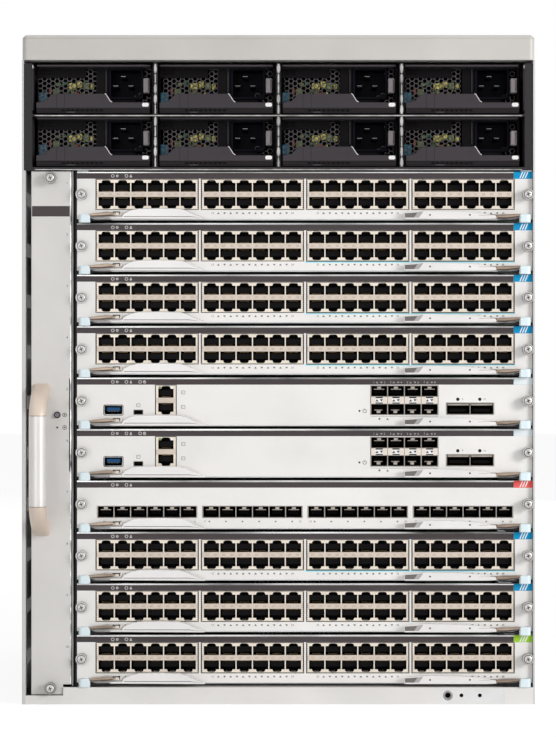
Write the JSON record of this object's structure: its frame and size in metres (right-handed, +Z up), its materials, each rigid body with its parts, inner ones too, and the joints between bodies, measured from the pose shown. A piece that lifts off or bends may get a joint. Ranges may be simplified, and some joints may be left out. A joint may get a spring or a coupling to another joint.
{
  "type": "modular chassis switch",
  "caption": "Rack-height modular network switch with slide-in line cards, supervisor cards, a full-height fan tray and front-loading power supplies.",
  "frame": {"origin": "under the middle of the chassis on its bottom face, halfway between the front plane and the rear cover", "axes": "+X to the right seen from the front, -Y out of the front, +Z up"},
  "size_m": [0.442, 0.4503, 0.577],
  "materials": {
    "chassis_sheet": "fine satin powder coat",
    "bezel_paint": "satin powder coat",
    "circuit_board": "solder mask",
    "tray_paint": "satin powder coat",
    "fan_plastic": "matt moulded",
    "handle_metal": "anodised",
    "button_plastic": "translucent moulded",
    "card_paint": "satin powder coat",
    "lever_metal": "satin cast",
    "supply_black": "satin black",
    "latch_plastic": "matt moulded"
  },
  "bodies": {
    "chassis": {"left_side": "chassis_sheet", "right_side": "chassis_sheet", "floor_pan": "chassis_sheet", "top_cover": "chassis_sheet", "rear_cover": "chassis_sheet", "top_bezel": "bezel_paint", "base_fascia": "bezel_paint", "power_cage": "chassis_sheet", "card_cage": "chassis_sheet", "backplane": "circuit_board"},
    "fan_tray": {"fan_tray": "tray_paint", "fan_bank": "fan_plastic", "tray_handle": "handle_metal"},
    "beacon_button": {"beacon_button": "button_plastic"},
    "line_card_01": {"line_card_01": "card_paint"},
    "ejector_left_01": {"ejector_left_01": "lever_metal"},
    "ejector_right_01": {"ejector_right_01": "lever_metal"},
    "line_card_02": {"line_card_02": "card_paint"},
    "ejector_left_02": {"ejector_left_02": "lever_metal"},
    "ejector_right_02": {"ejector_right_02": "lever_metal"},
    "line_card_03": {"line_card_03": "card_paint"},
    "ejector_left_03": {"ejector_left_03": "lever_metal"},
    "ejector_right_03": {"ejector_right_03": "lever_metal"},
    "line_card_04": {"line_card_04": "card_paint"},
    "ejector_left_04": {"ejector_left_04": "lever_metal"},
    "ejector_right_04": {"ejector_right_04": "lever_metal"},
    "supervisor_05": {"supervisor_05": "card_paint"},
    "ejector_left_05": {"ejector_left_05": "lever_metal"},
    "ejector_right_05": {"ejector_right_05": "lever_metal"},
    "supervisor_06": {"supervisor_06": "card_paint"},
    "ejector_left_06": {"ejector_left_06": "lever_metal"},
    "ejector_right_06": {"ejector_right_06": "lever_metal"},
    "line_card_07": {"line_card_07": "card_paint"},
    "ejector_left_07": {"ejector_left_07": "lever_metal"},
    "ejector_right_07": {"ejector_right_07": "lever_metal"},
    "line_card_08": {"line_card_08": "card_paint"},
    "ejector_left_08": {"ejector_left_08": "lever_metal"},
    "ejector_right_08": {"ejector_right_08": "lever_metal"},
    "line_card_09": {"line_card_09": "card_paint"},
    "ejector_left_09": {"ejector_left_09": "lever_metal"},
    "ejector_right_09": {"ejector_right_09": "lever_metal"},
    "line_card_10": {"line_card_10": "card_paint"},
    "ejector_left_10": {"ejector_left_10": "lever_metal"},
    "ejector_right_10": {"ejector_right_10": "lever_metal"},
    "power_supply_1": {"power_supply_1": "supply_black"},
    "supply_latch_1": {"supply_latch_1": "latch_plastic"},
    "power_supply_2": {"power_supply_2": "supply_black"},
    "supply_latch_2": {"supply_latch_2": "latch_plastic"},
    "power_supply_3": {"power_supply_3": "supply_black"},
    "supply_latch_3": {"supply_latch_3": "latch_plastic"},
    "power_supply_4": {"power_supply_4": "supply_black"},
    "supply_latch_4": {"supply_latch_4": "latch_plastic"},
    "power_supply_5": {"power_supply_5": "supply_black"},
    "supply_latch_5": {"supply_latch_5": "latch_plastic"},
    "power_supply_6": {"power_supply_6": "supply_black"},
    "supply_latch_6": {"supply_latch_6": "latch_plastic"},
    "power_supply_7": {"power_supply_7": "supply_black"},
    "supply_latch_7": {"supply_latch_7": "latch_plastic"},
    "power_supply_8": {"power_supply_8": "supply_black"},
    "supply_latch_8": {"supply_latch_8": "latch_plastic"}
  },
  "joints": [
    {"name": "fan_tray_slide", "type": "slide", "parent": "chassis", "child": "fan_tray", "axis": [0, -1, 0], "range_m": [0, 0.335]},
    {"name": "beacon_press", "type": "slide", "parent": "fan_tray", "child": "beacon_button", "axis": [0, 1, 0], "range_m": [0, 0.0015], "stiffness_N_per_m": 400, "springref_m": -0.001},
    {"name": "line_card_01_slide", "type": "slide", "parent": "chassis", "child": "line_card_01", "axis": [0, -1, 0], "range_m": [0, 0.33]},
    {"name": "ejector_left_01_pivot", "type": "hinge", "parent": "line_card_01", "child": "ejector_left_01", "pos_m": [-0.1698, -0.20597, 0.41695], "axis": [0, 0, -1], "range_deg": [0, 55]},
    {"name": "ejector_right_01_pivot", "type": "hinge", "parent": "line_card_01", "child": "ejector_right_01", "pos_m": [0.215, -0.20597, 0.41695], "axis": [0, 0, 1], "range_deg": [0, 55]},
    {"name": "line_card_02_slide", "type": "slide", "parent": "chassis", "child": "line_card_02", "axis": [0, -1, 0], "range_m": [0, 0.33]},
    {"name": "ejector_left_02_pivot", "type": "hinge", "parent": "line_card_02", "child": "ejector_left_02", "pos_m": [-0.1698, -0.20597, 0.3725], "axis": [0, 0, -1], "range_deg": [0, 55]},
    {"name": "ejector_right_02_pivot", "type": "hinge", "parent": "line_card_02", "child": "ejector_right_02", "pos_m": [0.215, -0.20597, 0.3725], "axis": [0, 0, 1], "range_deg": [0, 55]},
    {"name": "line_card_03_slide", "type": "slide", "parent": "chassis", "child": "line_card_03", "axis": [0, -1, 0], "range_m": [0, 0.33]},
    {"name": "ejector_left_03_pivot", "type": "hinge", "parent": "line_card_03", "child": "ejector_left_03", "pos_m": [-0.1698, -0.20597, 0.32805], "axis": [0, 0, -1], "range_deg": [0, 55]},
    {"name": "ejector_right_03_pivot", "type": "hinge", "parent": "line_card_03", "child": "ejector_right_03", "pos_m": [0.215, -0.20597, 0.32805], "axis": [0, 0, 1], "range_deg": [0, 55]},
    {"name": "line_card_04_slide", "type": "slide", "parent": "chassis", "child": "line_card_04", "axis": [0, -1, 0], "range_m": [0, 0.33]},
    {"name": "ejector_left_04_pivot", "type": "hinge", "parent": "line_card_04", "child": "ejector_left_04", "pos_m": [-0.1698, -0.20597, 0.2836], "axis": [0, 0, -1], "range_deg": [0, 55]},
    {"name": "ejector_right_04_pivot", "type": "hinge", "parent": "line_card_04", "child": "ejector_right_04", "pos_m": [0.215, -0.20597, 0.2836], "axis": [0, 0, 1], "range_deg": [0, 55]},
    {"name": "supervisor_05_slide", "type": "slide", "parent": "chassis", "child": "supervisor_05", "axis": [0, -1, 0], "range_m": [0, 0.33]},
    {"name": "ejector_left_05_pivot", "type": "hinge", "parent": "supervisor_05", "child": "ejector_left_05", "pos_m": [-0.1698, -0.20597, 0.23915], "axis": [0, 0, -1], "range_deg": [0, 55]},
    {"name": "ejector_right_05_pivot", "type": "hinge", "parent": "supervisor_05", "child": "ejector_right_05", "pos_m": [0.215, -0.20597, 0.23915], "axis": [0, 0, 1], "range_deg": [0, 55]},
    {"name": "supervisor_06_slide", "type": "slide", "parent": "chassis", "child": "supervisor_06", "axis": [0, -1, 0], "range_m": [0, 0.33]},
    {"name": "ejector_left_06_pivot", "type": "hinge", "parent": "supervisor_06", "child": "ejector_left_06", "pos_m": [-0.1698, -0.20597, 0.1947], "axis": [0, 0, -1], "range_deg": [0, 55]},
    {"name": "ejector_right_06_pivot", "type": "hinge", "parent": "supervisor_06", "child": "ejector_right_06", "pos_m": [0.215, -0.20597, 0.1947], "axis": [0, 0, 1], "range_deg": [0, 55]},
    {"name": "line_card_07_slide", "type": "slide", "parent": "chassis", "child": "line_card_07", "axis": [0, -1, 0], "range_m": [0, 0.33]},
    {"name": "ejector_left_07_pivot", "type": "hinge", "parent": "line_card_07", "child": "ejector_left_07", "pos_m": [-0.1698, -0.20597, 0.15025], "axis": [0, 0, -1], "range_deg": [0, 55]},
    {"name": "ejector_right_07_pivot", "type": "hinge", "parent": "line_card_07", "child": "ejector_right_07", "pos_m": [0.215, -0.20597, 0.15025], "axis": [0, 0, 1], "range_deg": [0, 55]},
    {"name": "line_card_08_slide", "type": "slide", "parent": "chassis", "child": "line_card_08", "axis": [0, -1, 0], "range_m": [0, 0.33]},
    {"name": "ejector_left_08_pivot", "type": "hinge", "parent": "line_card_08", "child": "ejector_left_08", "pos_m": [-0.1698, -0.20597, 0.1058], "axis": [0, 0, -1], "range_deg": [0, 55]},
    {"name": "ejector_right_08_pivot", "type": "hinge", "parent": "line_card_08", "child": "ejector_right_08", "pos_m": [0.215, -0.20597, 0.1058], "axis": [0, 0, 1], "range_deg": [0, 55]},
    {"name": "line_card_09_slide", "type": "slide", "parent": "chassis", "child": "line_card_09", "axis": [0, -1, 0], "range_m": [0, 0.33]},
    {"name": "ejector_left_09_pivot", "type": "hinge", "parent": "line_card_09", "child": "ejector_left_09", "pos_m": [-0.1698, -0.20597, 0.06135], "axis": [0, 0, -1], "range_deg": [0, 55]},
    {"name": "ejector_right_09_pivot", "type": "hinge", "parent": "line_card_09", "child": "ejector_right_09", "pos_m": [0.215, -0.20597, 0.06135], "axis": [0, 0, 1], "range_deg": [0, 55]},
    {"name": "line_card_10_slide", "type": "slide", "parent": "chassis", "child": "line_card_10", "axis": [0, -1, 0], "range_m": [0, 0.33]},
    {"name": "ejector_left_10_pivot", "type": "hinge", "parent": "line_card_10", "child": "ejector_left_10", "pos_m": [-0.1698, -0.20597, 0.0169], "axis": [0, 0, -1], "range_deg": [0, 55]},
    {"name": "ejector_right_10_pivot", "type": "hinge", "parent": "line_card_10", "child": "ejector_right_10", "pos_m": [0.215, -0.20597, 0.0169], "axis": [0, 0, 1], "range_deg": [0, 55]},
    {"name": "power_supply_1_slide", "type": "slide", "parent": "chassis", "child": "power_supply_1", "axis": [0, -1, 0], "range_m": [0, 0.32]},
    {"name": "supply_latch_1_press", "type": "slide", "parent": "power_supply_1", "child": "supply_latch_1", "axis": [-1, 0, 0], "range_m": [0, 0.003], "stiffness_N_per_m": 600, "springref_m": -0.001},
    {"name": "power_supply_2_slide", "type": "slide", "parent": "chassis", "child": "power_supply_2", "axis": [0, -1, 0], "range_m": [0, 0.32]},
    {"name": "supply_latch_2_press", "type": "slide", "parent": "power_supply_2", "child": "supply_latch_2", "axis": [-1, 0, 0], "range_m": [0, 0.003], "stiffness_N_per_m": 600, "springref_m": -0.001},
    {"name": "power_supply_3_slide", "type": "slide", "parent": "chassis", "child": "power_supply_3", "axis": [0, -1, 0], "range_m": [0, 0.32]},
    {"name": "supply_latch_3_press", "type": "slide", "parent": "power_supply_3", "child": "supply_latch_3", "axis": [-1, 0, 0], "range_m": [0, 0.003], "stiffness_N_per_m": 600, "springref_m": -0.001},
    {"name": "power_supply_4_slide", "type": "slide", "parent": "chassis", "child": "power_supply_4", "axis": [0, -1, 0], "range_m": [0, 0.32]},
    {"name": "supply_latch_4_press", "type": "slide", "parent": "power_supply_4", "child": "supply_latch_4", "axis": [-1, 0, 0], "range_m": [0, 0.003], "stiffness_N_per_m": 600, "springref_m": -0.001},
    {"name": "power_supply_5_slide", "type": "slide", "parent": "chassis", "child": "power_supply_5", "axis": [0, -1, 0], "range_m": [0, 0.32]},
    {"name": "supply_latch_5_press", "type": "slide", "parent": "power_supply_5", "child": "supply_latch_5", "axis": [-1, 0, 0], "range_m": [0, 0.003], "stiffness_N_per_m": 600, "springref_m": -0.001},
    {"name": "power_supply_6_slide", "type": "slide", "parent": "chassis", "child": "power_supply_6", "axis": [0, -1, 0], "range_m": [0, 0.32]},
    {"name": "supply_latch_6_press", "type": "slide", "parent": "power_supply_6", "child": "supply_latch_6", "axis": [-1, 0, 0], "range_m": [0, 0.003], "stiffness_N_per_m": 600, "springref_m": -0.001},
    {"name": "power_supply_7_slide", "type": "slide", "parent": "chassis", "child": "power_supply_7", "axis": [0, -1, 0], "range_m": [0, 0.32]},
    {"name": "supply_latch_7_press", "type": "slide", "parent": "power_supply_7", "child": "supply_latch_7", "axis": [-1, 0, 0], "range_m": [0, 0.003], "stiffness_N_per_m": 600, "springref_m": -0.001},
    {"name": "power_supply_8_slide", "type": "slide", "parent": "chassis", "child": "power_supply_8", "axis": [0, -1, 0], "range_m": [0, 0.32]},
    {"name": "supply_latch_8_press", "type": "slide", "parent": "power_supply_8", "child": "supply_latch_8", "axis": [-1, 0, 0], "range_m": [0, 0.003], "stiffness_N_per_m": 600, "springref_m": -0.001}
  ]
}
